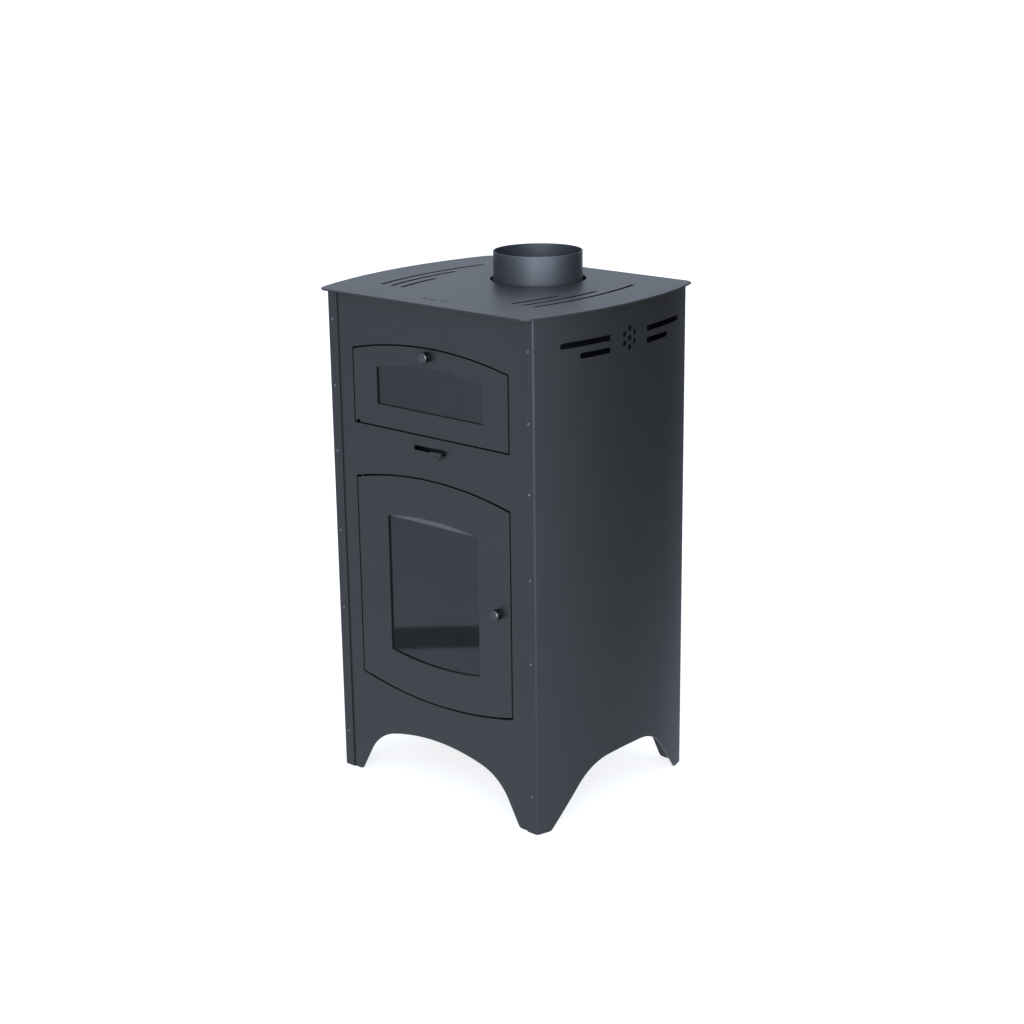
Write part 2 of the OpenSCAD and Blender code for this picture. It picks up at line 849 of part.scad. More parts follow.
module grate() {
    bars = 9;
    bar_pitch = (grate_w - 20) / bars;
    slot = bar_pitch * 0.5;
    color(iron_color) difference() {
        block([-grate_w / 2, grate_y - grate_l / 2, brick_z],
              [grate_w / 2, grate_y + grate_l / 2, brick_z + grate_t]);
        for (i = [0:bars - 1]) translate([(i - (bars - 1) / 2) * bar_pitch, grate_y, 0]) {
            block([-slot / 2, -grate_l / 2 + 16, brick_z - cut],
                  [slot / 2, grate_l / 2 - 16, brick_z + grate_t + cut]);
        }
    }
}

// A low bar that keeps the logs behind the glass
module log_guard() {
    guard_h = 26;
    half_w = fire_mouth_x - 2;
    color(iron_color) {
        block([-half_w, body_y + 4, brick_z], [half_w, body_y + 8, brick_z + guard_h]);
        block([-half_w, body_y + 4, brick_z], [half_w, body_y + 13, brick_z + 4]);
    }
}

// A folded pan that slides in under the hearth plate
module ash_pan() {
    wall = 1.5;
    half_w = fire_mouth_x - 6;
    y0 = body_y + 2;
    y1 = body_back_y - plate_t - 40;
    z0 = floor_top;
    color(steel_color) difference() {
        block([-half_w, y0, z0], [half_w, y1, z0 + ash_h]);
        block([-half_w + wall, y0 + wall, z0 + wall], [half_w - wall, y1 - wall, z0 + ash_h + cut]);
    }
}

// ---- air slide ----

// A plate that covers the air holes, with a lever through the front panel
module air_slide() {
    tip_z = air_z - 10;
    color(casing_color) translate([air_rest_x, 0, 0]) {
        difference() {
            block([slide_left, slide_y, air_z - slide_half_h],
                  [slide_right, slide_y + slide_t, air_z + slide_half_h]);
            for (x = [-air_hole_x, air_hole_x]) translate([x - air_open_x, 0, air_z])
                block([-air_hole_w / 2, slide_y - cut, -air_hole_h / 2],
                      [air_hole_w / 2, slide_y + slide_t + cut, air_hole_h / 2]);
        }
        block([-lever_stem / 2, lever_front_y, air_z - lever_t / 2],
              [lever_stem / 2, slide_y + slide_t, air_z + lever_t / 2]);
        along_y(lever_front_y, lever_front_y + lever_t) difference() {
            union() {
                polygon([[-lever_w / 2, air_z + lever_t / 2], [lever_w / 2, air_z + lever_t / 2],
                         [lever_w / 2, air_z - 2], [3, tip_z], [-3, tip_z],
                         [-lever_w / 2, air_z - 2]]);
                translate([0, tip_z + 0.5]) circle(r = 3);
            }
            translate([0, air_z - 5]) circle(r = 1.5);
        }
    }
}

// Strips that hold the slide against the stove body
module air_slide_guides() {
    reach = slide_right + air_slot_w / 2 - 5;
    strip_h = 10;
    lap = 3;
    color(iron_color) for (side = [-1, 1]) translate([0, 0, air_z]) scale([1, 1, side]) {
        block([-reach, slide_y - slide_fit, slide_half_h + slide_fit],
              [reach, frame_y, slide_half_h + strip_h]);
        block([-reach, slide_y - slide_fit - 1.5, slide_half_h - lap],
              [reach, slide_y - slide_fit, slide_half_h + strip_h]);
    }
}

// ---- hinges and latches on the stove body ----

module hinge_brackets() {
    color(iron_color) {
        for (z = fire_bracket_zs) difference() {
            block([fire_hinge_x - bracket_half, panel_back_y, z],
                  [fire_hinge_x + bracket_half, frame_y, z + bracket_t]);
            translate([fire_hinge_x, hinge_y, z - cut])
                cylinder(r = pin_r + run_fit, h = bracket_t + 2 * cut);
        }
        both_sides() difference() {
            block([oven_bracket_x, panel_back_y, oven_hinge_z - bracket_half],
                  [oven_bracket_x + bracket_t, frame_y, oven_hinge_z + bracket_half]);
            rod_x(pin_r + run_fit, oven_bracket_x - cut, oven_bracket_x + bracket_t + cut,
                  hinge_y, oven_hinge_z);
        }
    }
}

// A hooked plate for each latch cam to turn behind. Drawn for a cam that locks along +X.
module keeper(x, z) {
    reach = cam_l + 7;
    lip_w = 14;
    half_h = 11;
    block([x + reach - lip_w, lip_y, z - half_h], [x + reach, lip_y + lip_t, z + half_h]);
    block([x + reach - lip_t, lip_y, z - half_h], [x + reach, frame_y, z + half_h]);
}

module latch_keepers() {
    color(iron_color) {
        keeper(fire_latch_x, fire_latch_z);
        translate([0, 0, oven_latch_z]) rotate([0, -90, 0]) keeper(0, 0);
    }
}

// ---- parts that both doors have ----

// Ring of sealing rope on the back of a door frame
module gasket(half_w, low, high) {
    color(rope_color) along_y(ring_back_y, ring_back_y + gasket_t) difference() {
        rect(half_w + gasket_w / 2, low - gasket_w / 2, high + gasket_w / 2);
        rect(half_w - gasket_w / 2, low + gasket_w / 2, high - gasket_w / 2);
    }
}

// An L-shaped clip: one leg behind the glass, one on the inner wall of the door frame
module glass_clip(x, z, lap) {
    block([x - lap, glass_back_y, z - clip_w / 2],
          [x, glass_back_y + clip_t, z + clip_w / 2]);
    block([x - clip_t, glass_back_y, z - clip_w / 2],
          [x, ring_back_y - 1, z + clip_w / 2]);
}

// Flat tape between the door panel and the glass, round the window
module tape(half_w, low, high, width, in_high) {
    color(rope_color) along_y(panel_back_y, glass_y) difference() {
        rect(half_w, low, high);
        rect(half_w - width, low + width, in_high);
    }
}

// A knob with a chamfered face and a grub screw hole, on a neck and a spindle
module knob(x, z) {
    chamfer = 1.2;
    neck_r = 6;
    grub_r = 2;
    color(steel_color) difference() {
        translate([x, knob_front_y, z]) rotate([-90, 0, 0]) rotate_extrude()
            polygon([[0, 0], [knob_r - chamfer, 0], [knob_r, chamfer], [knob_r, knob_l - chamfer],
                     [knob_r - chamfer, knob_l], [neck_r, knob_l],
                     [neck_r, knob_l + knob_gap - 0.6], [spindle_r, knob_l + knob_gap - 0.6],
                     [spindle_r, cam_y + cam_t + 2 - knob_front_y],
                     [0, cam_y + cam_t + 2 - knob_front_y]]);
        rod_x(grub_r, x + knob_r - 4, x + knob_r + cut, knob_front_y + knob_l / 2, z);
    }
}

// The bush that the spindle turns in, welded behind the door panel
module bush(x, z) {
    color(iron_color) difference() {
        rod_y(bush_r, panel_back_y, bush_end_y, x, z);
        rod_y(spindle_r + run_fit, panel_back_y - cut, bush_end_y + cut, x, z);
    }
}

// A cam with a round hub and a round-ended arm. Drawn with the arm along +X.
module cam() {
    hub_r = 6;
    arm_w = 10;
    along_y(cam_y, cam_y + cam_t) difference() {
        union() {
            circle(r = hub_r);
            translate([0, -arm_w / 2]) square([cam_l - arm_w / 2, arm_w]);
            translate([cam_l - arm_w / 2, 0]) circle(d = arm_w);
        }
        circle(r = spindle_r);
    }
}

// ---- fire door ----

module fire_door_panel() {
    color(casing_color) difference() {
        along_y(panel_y, panel_back_y) difference() {
            fire_outline(-door_gap / 2, door_relief);
            fire_window();
        }
        rod_y(spindle_r + loose_fit, panel_y - cut, panel_back_y + cut, fire_latch_x, fire_latch_z);
    }
}

module fire_door_frame() {
    ear_zs = [fire_ring_low, fire_ring_high - ear_t];
    color(iron_color) difference() {
        union() {
            along_y(panel_back_y, ring_back_y)
                ring(fire_ring_x, fire_ring_w, fire_ring_low, fire_ring_end_w,
                     fire_ring_high, fire_ring_end_w);
            for (z = ear_zs) block([fire_hinge_x - bracket_half, panel_back_y, z],
                                   [-fire_ring_x - fire_ring_w, hinge_y + bracket_half, z + ear_t]);
        }
        for (z = ear_zs) translate([fire_hinge_x, hinge_y, z - cut])
            cylinder(r = pin_r, h = ear_t + 2 * cut);
    }
}

module fire_door_glass() {
    color([0.2, 0.22, 0.23, 0.4]) block([-fire_glass_x, glass_y, fire_glass_low],
                                        [fire_glass_x, glass_back_y, fire_glass_high]);
}

// The strip above the glass line, seen under the arched edge of the window
module fire_glass_strip() {
    color([0.42, 0.44, 0.46]) block([-fire_glass_x, panel_back_y, strip_z],
                                    [fire_glass_x, glass_y, fire_glass_high]);
}

module fire_glass_tape() {
    tape(fire_glass_x, fire_glass_low, strip_z - slide_fit, glass_lap - 1.5, strip_z + cut);
}

module fire_glass_clips() {
    color(steel_color) both_sides() for (z = [fire_win_z + 15, strip_z - 15])
        glass_clip(fire_ring_x, z, 14);
}

module fire_door_gasket() {
    gasket(fire_ring_x + fire_ring_w / 2, fire_ring_low - fire_ring_end_w / 2,
           fire_ring_high + fire_ring_end_w / 2);
}

module fire_hinge_pins() {
    color(steel_color) {
        translate([fire_hinge_x, hinge_y, fire_bracket_zs[0]])
            cylinder(r = pin_r, h = fire_ring_low + ear_t - fire_bracket_zs[0]);
        translate([fire_hinge_x, hinge_y, fire_ring_high - ear_t])
            cylinder(r = pin_r, h = fire_bracket_zs[1] + bracket_t - fire_ring_high + ear_t);
    }
}

module fire_spindle_bush() {
    bush(fire_latch_x, fire_latch_z);
}

module fire_knob() {
    knob(fire_latch_x, fire_latch_z);
}

// Released: the arm hangs down. A quarter turn points it at the keeper.
module fire_latch_cam() {
    color(iron_color) translate([fire_latch_x, 0, fire_latch_z]) rotate([0, 90, 0]) cam();
}

// ---- oven door ----

module oven_door_panel() {
    notch = [8, 5];
    color(casing_color) difference() {
        along_y(panel_y, panel_back_y) difference() {
            oven_outline(-door_gap / 2);
            oven_window();
            // notch that lets the hinge pin in from the front
            translate([-leaf_half + 3, oven_z]) square(notch);
        }
        rod_y(spindle_r + loose_fit, panel_y - cut, panel_back_y + cut, 0, oven_latch_z);
    }
}

module oven_door_frame() {
    ear_x = leaf_half - 4;
    color(iron_color) difference() {
        union() {
            along_y(panel_back_y, ring_back_y)
                ring(oven_ring_x, oven_ring_w, oven_ring_low, oven_ring_foot_w,
                     oven_ring_high, oven_ring_end_w);
            both_sides() block([oven_pin_x - 4, panel_back_y, oven_hinge_z - bracket_half],
                               [ear_x, hinge_y + bracket_half,
                                oven_ring_low - oven_ring_foot_w + 3]);
        }
        both_sides() rod_x(pin_r, oven_pin_x, ear_x + cut, hinge_y, oven_hinge_z);
    }
}

module oven_door_glass() {
    color([0.2, 0.22, 0.23, 0.4]) block([-oven_glass_x, glass_y, oven_glass_low],
                                        [oven_glass_x, glass_back_y, oven_glass_high]);
}

module oven_glass_tape() {
    tape(oven_glass_x, oven_glass_low, oven_glass_high, 7, oven_glass_high - 3);
}

module oven_glass_clips() {
    color(steel_color) both_sides() for (z = [oven_win_z + 5, oven_win_top])
        glass_clip(oven_ring_x, z, 14);
}

module oven_door_gasket() {
    gasket(oven_ring_x + oven_ring_w / 2, oven_ring_low - oven_ring_foot_w / 2,
           oven_ring_high + oven_ring_end_w / 2);
}

module oven_hinge_pins() {
    color(steel_color) both_sides()
        rod_x(pin_r, oven_pin_x, oven_bracket_x + bracket_t, hinge_y, oven_hinge_z);
}

module oven_spindle_bush() {
    bush(0, oven_latch_z);
}

module oven_knob() {
    knob(0, oven_latch_z);
}

// Released: the arm lies level. A quarter turn points it up behind the keeper.
module oven_latch_cam() {
    color(iron_color) translate([0, 0, oven_latch_z]) cam();
}

front_panel();
left_side_panel();
right_side_panel();
back_panel();
top_plate();
top_brackets();
front_screws();
back_screws();
base_rails();
rail_bolts();
body_floor();
body_left_plate();
body_right_plate();
body_back_plate();
body_roof();
body_front_frame();
flue_collar();
oven_floor();
oven_roof();
oven_left_wall();
oven_right_wall();
oven_back_wall();
oven_runners();
oven_rack();
baffle_plate();
baffle_supports();
brick_left();
brick_right();
brick_back();
hearth_plate();
grate();
log_guard();
ash_pan();
air_slide();
air_slide_guides();
hinge_brackets();
latch_keepers();
fire_door_panel();
fire_door_frame();
fire_door_glass();
fire_glass_strip();
fire_glass_tape();
fire_glass_clips();
fire_door_gasket();
fire_hinge_pins();
fire_spindle_bush();
fire_knob();
fire_latch_cam();
oven_door_panel();
oven_door_frame();
oven_door_glass();
oven_glass_tape();
oven_glass_clips();
oven_door_gasket();
oven_hinge_pins();
oven_spindle_bush();
oven_knob();
oven_latch_cam();
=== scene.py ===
import json
import math

import bmesh
import bpy
from mathutils import Matrix, Vector


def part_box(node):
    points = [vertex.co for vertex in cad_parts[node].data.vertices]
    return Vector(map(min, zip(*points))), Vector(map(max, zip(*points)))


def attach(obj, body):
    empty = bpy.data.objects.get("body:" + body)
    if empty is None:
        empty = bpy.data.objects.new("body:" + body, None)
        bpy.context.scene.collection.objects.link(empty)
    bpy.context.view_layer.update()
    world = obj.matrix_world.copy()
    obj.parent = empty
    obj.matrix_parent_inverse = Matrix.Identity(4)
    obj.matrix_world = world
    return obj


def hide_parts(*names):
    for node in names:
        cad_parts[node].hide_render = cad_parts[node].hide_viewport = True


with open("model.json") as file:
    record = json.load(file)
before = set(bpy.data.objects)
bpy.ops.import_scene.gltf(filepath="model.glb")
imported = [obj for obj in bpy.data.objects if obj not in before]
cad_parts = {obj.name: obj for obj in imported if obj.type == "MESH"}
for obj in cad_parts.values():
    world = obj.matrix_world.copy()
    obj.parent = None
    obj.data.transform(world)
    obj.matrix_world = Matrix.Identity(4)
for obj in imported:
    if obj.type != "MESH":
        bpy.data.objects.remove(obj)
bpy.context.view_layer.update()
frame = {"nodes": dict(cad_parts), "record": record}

MM = 0.001

# ---- sizes of the stove in millimetres, the same as in the CAD source ----

CASING_W, CASING_D, CASING_H = 448.0, 386.0, 850.0
SHEET = 2.5                      # thickness of the casing sheets and the door panels
SIDE_BOW = 29.0                  # how far the middle of a side sheet stands out
FLANGE_W = 21.0                  # width of the flanges folded over the front and the back
FOLD_R = 4.0
SIDE_R = ((CASING_D / 2) ** 2 + SIDE_BOW**2) / (2 * SIDE_BOW)
SIDE_CX = CASING_W / 2 + SIDE_BOW - SIDE_R
PANEL_Y = -CASING_D / 2 + SHEET  # outer face of the front panel and the doors
PANEL_BACK_Y = PANEL_Y + SHEET
PANEL_HALF = (CASING_W - 2 * FOLD_R - 1) / 2

ARCH_H = 102.0                   # height of the openings between the feet
SHOULDER_R = 95.0
TOE_R = 8.0
FRONT_FOOT_W, FRONT_FOOT_SLOPE, FRONT_DOME_R = 40, 61, 390
SIDE_FOOT_W, SIDE_FOOT_SLOPE, SIDE_DOME_R = 28, 50, 600

DOOR_HALF = 171.0                # half the width of both doors, to the middle of the gap
DOOR_SAG = 20                    # rise of the doors' curved edges
GAP = 1.3                        # half the gap round a door
FIRE_LOW, FIRE_HIGH = 188.5, 538.5
OVEN_LOW, OVEN_HIGH = 632, 757
FIRE_PANEL = (189.7, 537.3, 21.2)        # low corner, high corner, rise of its own edges
FIRE_WINDOW = (101, 245, 482, 9)         # half width, low corner, high corner, rise
OVEN_WINDOW = (117, 670, 731.5, 12.5)
FIRE_KNOB = (145, 363.5)
OVEN_KNOB = (0, 763.5)
KNOB_HOLE_R = 5
HINGE_NOTCH = (-166.7, 633.3, -158.7, 637)
AIR_SLOT = (-35, 605.75, 35, 614.25)

SCREW_IN = 11                    # from the free edge of a flange to its screws
SCREW_X = CASING_W / 2 - FLANGE_W + SCREW_IN
SCREW_ZS = (800, 687.5, 575, 435, 295, 65)
SCREW_HOLE_R = 1.75

BACK_SLOT_XS = ((-90, -30), (30, 90))
BACK_SLOT_TOPS = (808, 176)      # lower edge of the top slot in each group
BACK_SLOT_PITCH = 18
BACK_SLOT_R = 4

VENT_MID = 7.5                   # middle of the vents, a little behind the sheet's middle
VENT_FROM = 46.5                 # from there to the vents' square ends
VENT_LENGTHS = (104, 66)
VENT_DROP = 43
VENT_PITCH = 19.5
VENT_R = 4.75
ROSETTE_DROP = 12                # below the top of the vents
ROSETTE_R = 15
ROSETTE_HOLE_R = 4.5

TOP_T = 3.0
TOP_OVER_SIDE = 6.5
TOP_OVER_END = 19.5
TOP_CORNER_R = 22.0
TAB_X, TAB_HALF, TAB_FIT = 112, 5.5, 0.3
TOP_SLOT_INSET, TOP_SLOT_PITCH, TOP_SLOT_W = 73, 22.5, 7.0
TOP_SLOT_START = -120
TOP_SLOT_LENGTHS = (244, 161, 91)
SMALL_SLOT_XS = (-20, 0, 20)
SMALL_SLOT_HALF = 7
SMALL_SLOT_Y0, SMALL_SLOT_Y1 = -174.5, -171.5

FLUE_Y = 80
FLUE_HOLE_R = 80.8
FLUE_IN_R = 73
FLUE_PROFILE = [(75, 804), (75, 899.4), (74.6, 900), (73.4, 900), (73, 899.4), (73, 804),
                (75, 804)]
SEAM_AT, SEAM_HALF, SEAM_R = 52, 1.2, 72.2       # place and half width in degrees, radius

SCREW_PROFILE = [(0, -8), (1.3, -8), (1.5, -7.8), (1.5, 0), (2.5, 0), (2.6, 0.15),
                 (2.55, 0.6), (2.2, 1.0), (1.6, 1.18), (1.0, 1.2), (0.9, 1.1), (0.85, 0.5),
                 (0, 0.5)]

EDGE = 0.4                       # rounding of a cut edge
ARC_STEPS = 48


# ---- outlines ----

def arc(cx, cy, r, a0, a1, steps):
    """Points along an arc, angles in degrees, both ends included."""
    out = []
    for i in range(steps + 1):
        a = math.radians(a0 + (a1 - a0) * i / steps)
        out.append((cx + r * math.cos(a), cy + r * math.sin(a)))
    return out


def arch_points(half_w, slope, dome_r):
    """The edge of the opening between two feet, from the left toe to the right toe."""
    s = math.radians(slope)
    along = (-math.cos(s), math.sin(s))
    inward = (-math.sin(s), -math.cos(s))
    dome_y = ARCH_H - dome_r
    # the shoulder touches the foot's straight edge and the dome: its middle lies this far
    # along a line beside the edge
    p = (half_w + SHOULDER_R * inward[0], -dome_y + SHOULDER_R * inward[1])
    b = p[0] * along[0] + p[1] * along[1]
    c = p[0] ** 2 + p[1] ** 2 - (dome_r - SHOULDER_R) ** 2
    t = -b + math.sqrt(b * b - c)
    mid = (half_w + SHOULDER_R * inward[0] + t * along[0],
           SHOULDER_R * inward[1] + t * along[1])
    run = TOE_R / math.tan((math.pi - s) / 2)
    toe = arc(half_w + run, TOE_R, TOE_R, -90, -90 - slope, 8)
    turn = math.degrees(math.atan2(mid[1] - dome_y, mid[0]))
    shoulder = arc(mid[0], mid[1], SHOULDER_R, 90 - slope, turn, 14)
    half_dome = arc(0, dome_y, dome_r, turn, 90, 20)
    half = toe + shoulder + half_dome[1:]
    mirrored = [(-x, y) for x, y in half]
    return mirrored + half[::-1][1:]


def door_points(half_w, low, high, sag, grow, curved_low):
    """A door or window outline, counter-clockwise from its lower left corner."""
    r = (half_w**2 + sag**2) / (2 * sag)
    hw = half_w + grow
    half_turn = math.degrees(math.asin(hw / (r + grow)))
    top_c = high + sag - r
    if curved_low:
        low_c = low - sag + r
        pts = arc(0, low_c, r + grow, -90 - half_turn, -90 + half_turn, ARC_STEPS)
    else:
        pts = [(-hw, low - grow), (hw, low - grow)]
    return pts + arc(0, top_c, r + grow, 90 - half_turn, 90 + half_turn, ARC_STEPS)


def rect_points(x0, y0, x1, y1):
    return [(x0, y0), (x1, y0), (x1, y1), (x0, y1)]


def circle_points(cx, cy, r, steps):
    return arc(cx, cy, r, 0, 360, steps)[:-1]


# ---- meshes ----

def new_object(name, data):
    ob = bpy.data.objects.new(name, data)
    bpy.context.scene.collection.objects.link(ob)
    return ob


def plate_mesh(name, loops, thick, bevel):
    """A flat plate with holes and rounded rims, in X and Y, from z = 0 to z = thick."""
    cu = bpy.data.curves.new(name + "_curve", "CURVE")
    cu.dimensions = "2D"
    cu.fill_mode = "BOTH"
    cu.extrude = thick / 2 - bevel
    cu.bevel_depth = bevel
    cu.bevel_resolution = 1
    cu.offset = -bevel
    for pts in loops:
        sp = cu.splines.new("POLY")
        sp.points.add(len(pts) - 1)
        for point, (x, y) in zip(sp.points, pts):
            point.co = (x, y, 0, 1)
        sp.use_cyclic_u = True
    ob = new_object(name + "_curve", cu)
    bpy.context.view_layer.update()
    dg = bpy.context.evaluated_depsgraph_get()
    me = bpy.data.meshes.new_from_object(ob.evaluated_get(dg))
    bpy.data.objects.remove(ob)
    bpy.data.curves.remove(cu)
    me.name = name
    me.transform(Matrix.Translation((0, 0, thick / 2)))
    return me


def clean(me, dist=1e-7):
    """Joins the doubled points of a mesh in metres and turns its faces outwards."""
    bm = bmesh.new()
    bm.from_mesh(me)
    bmesh.ops.remove_doubles(bm, verts=bm.verts, dist=dist)
    bmesh.ops.dissolve_degenerate(bm, edges=bm.edges, dist=dist)
    bmesh.ops.recalc_face_normals(bm, faces=bm.faces)
    bm.to_mesh(me)
    bm.free()


def shade(ob, angle=35):
    """Smooth shading, broken where two faces meet at more than the angle."""
    me = ob.data
    me.polygons.foreach_set("use_smooth", [True] * len(me.polygons))
    bm = bmesh.new()
    bm.from_mesh(me)
    limit = math.radians(angle)
    for e in bm.edges:
        e.smooth = len(e.link_faces) == 2 and e.calc_face_angle(0) < limit
    bm.to_mesh(me)
    bm.free()
    wn = ob.modifiers.new("weighted", "WEIGHTED_NORMAL")
    wn.keep_sharp = True
    wn.weight = 80


def finish_piece(ob, body, slot, *replaced):
    """Gives a piece the material of its slot, its body and the CAD node it stands for."""
    ob.data.materials.clear()
    ob.data.materials.append(M[slot])
    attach(ob, body)
    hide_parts(*replaced)


def placed_plate(name, loops, thick, bevel, place):
    me = plate_mesh(name, loops, thick, bevel)
    me.transform(place)
    me.transform(Matrix.Scale(MM, 4))
    clean(me)
    ob = new_object(name, me)
    shade(ob)
    return ob


def upright_plate(name, loops, y0):
    """A sheet drawn in X and Z, with its outer face at y0."""
    place = Matrix.Translation((0, y0 + SHEET, 0)) @ Matrix.Rotation(math.pi / 2, 4, "X")
    return placed_plate(name, loops, SHEET, EDGE, place)


def level_plate(name, loops, z0, thick, bevel):
    """A plate drawn in X and Y, standing on z0."""
    return placed_plate(name, loops, thick, bevel, Matrix.Translation((0, 0, z0)))


def lathe(name, profile, axis_point, axis, steps):
    """A turned piece: profile is (radius, distance along the axis), in millimetres."""
    bm = bmesh.new()
    rings = []
    for r, h in profile:
        if r == 0:
            rings.append([bm.verts.new((0, 0, h))])
        else:
            rings.append([bm.verts.new((r * math.cos(2 * math.pi * i / steps),
                                        r * math.sin(2 * math.pi * i / steps), h))
                          for i in range(steps)])
    for a, b in zip(rings, rings[1:]):
        for i in range(steps):
            j = (i + 1) % steps
            if len(a) == 1:
                bm.faces.new((a[0], b[j], b[i]))
            elif len(b) == 1:
                bm.faces.new((a[i], a[j], b[0]))
            else:
                bm.faces.new((a[i], a[j], b[j], b[i]))
    bmesh.ops.recalc_face_normals(bm, faces=bm.faces)
    me = bpy.data.meshes.new(name)
    bm.to_mesh(me)
    bm.free()
    turn = Vector((0, 0, 1)).rotation_difference(Vector(axis)).to_matrix().to_4x4()
    me.transform(Matrix.Translation(axis_point) @ turn)
    me.transform(Matrix.Scale(MM, 4))
    ob = new_object(name, me)
    shade(ob, 40)
    return ob


# ---- materials ----

MIX_A, MIX_B, MIX_RESULT = 6, 7, 2       # the colour sockets of a Mix node


def link(nt, a, b):
    nt.links.new(a, b)


def base_material(name):
    mat = bpy.data.materials.new(name)
    mat.use_nodes = True
    nt = mat.node_tree
    bsdf = nt.nodes["Principled BSDF"]
    coords = nt.nodes.new("ShaderNodeTexCoord").outputs["Object"]
    return mat, nt, bsdf, coords


def noise(nt, coords, scale, detail=2.0, rough=0.5):
    n = nt.nodes.new("ShaderNodeTexNoise")
    n.inputs["Scale"].default_value = scale
    n.inputs["Detail"].default_value = detail
    n.inputs["Roughness"].default_value = rough
    link(nt, coords, n.inputs["Vector"])
    return n.outputs["Fac"]


def remap(nt, value, low, high):
    """Spreads the middle half of a noise over low to high."""
    m = nt.nodes.new("ShaderNodeMapRange")
    m.inputs["From Min"].default_value = 0.25
    m.inputs["From Max"].default_value = 0.75
    m.inputs["To Min"].default_value = low
    m.inputs["To Max"].default_value = high
    link(nt, value, m.inputs["Value"])
    return m.outputs["Result"]


def two_tone(nt, value, dark, light):
    mix = nt.nodes.new("ShaderNodeMix")
    mix.data_type = "RGBA"
    mix.inputs[MIX_A].default_value = (*dark, 1)
    mix.inputs[MIX_B].default_value = (*light, 1)
    link(nt, remap(nt, value, 0, 1), mix.inputs[0])
    return mix.outputs[MIX_RESULT]


def bump(nt, bsdf, height, distance, strength):
    b = nt.nodes.new("ShaderNodeBump")
    b.inputs["Distance"].default_value = distance
    b.inputs["Strength"].default_value = strength
    link(nt, height, b.inputs["Height"])
    link(nt, b.outputs["Normal"], bsdf.inputs["Normal"])


def powder_coat(name, dark, light, rough, grain=700, depth=0.00003, metallic=0.0):
    """Baked paint with a fine grain and slow changes of tone."""
    mat, nt, bsdf, coords = base_material(name)
    fine = noise(nt, coords, grain)
    tone = noise(nt, coords, 14, 3)
    link(nt, two_tone(nt, tone, dark, light), bsdf.inputs["Base Color"])
    link(nt, remap(nt, fine, *rough), bsdf.inputs["Roughness"])
    bsdf.inputs["Metallic"].default_value = metallic
    bump(nt, bsdf, fine, depth, 0.6)
    return mat


def plain_metal(name, dark, light, rough=(0.25, 0.4)):
    """Bare steel with a cloudy sheen."""
    mat, nt, bsdf, coords = base_material(name)
    link(nt, two_tone(nt, noise(nt, coords, 60, 4), dark, light), bsdf.inputs["Base Color"])
    link(nt, remap(nt, noise(nt, coords, 150, 3), *rough), bsdf.inputs["Roughness"])
    bsdf.inputs["Metallic"].default_value = 1.0
    bump(nt, bsdf, noise(nt, coords, 400, 3), 0.00002, 0.4)
    return mat


def dark_glass(name, dark, light, rough):
    mat, nt, bsdf, coords = base_material(name)
    link(nt, two_tone(nt, noise(nt, coords, 6), dark, light), bsdf.inputs["Base Color"])
    link(nt, remap(nt, noise(nt, coords, 12, 3), *rough), bsdf.inputs["Roughness"])
    bsdf.inputs["Alpha"].default_value = 0.9
    return mat


def mineral(name, dark, light, rough=(0.85, 0.95), scale=120, depth=0.0004):
    """Fired, cast or woven stuff: rough, pitted and mottled."""
    mat, nt, bsdf, coords = base_material(name)
    tone = noise(nt, coords, scale, 6, 0.6)
    link(nt, two_tone(nt, tone, dark, light), bsdf.inputs["Base Color"])
    link(nt, remap(nt, noise(nt, coords, scale / 2, 3), *rough), bsdf.inputs["Roughness"])
    bump(nt, bsdf, noise(nt, coords, scale * 3, 5, 0.6), depth, 0.5)
    return mat


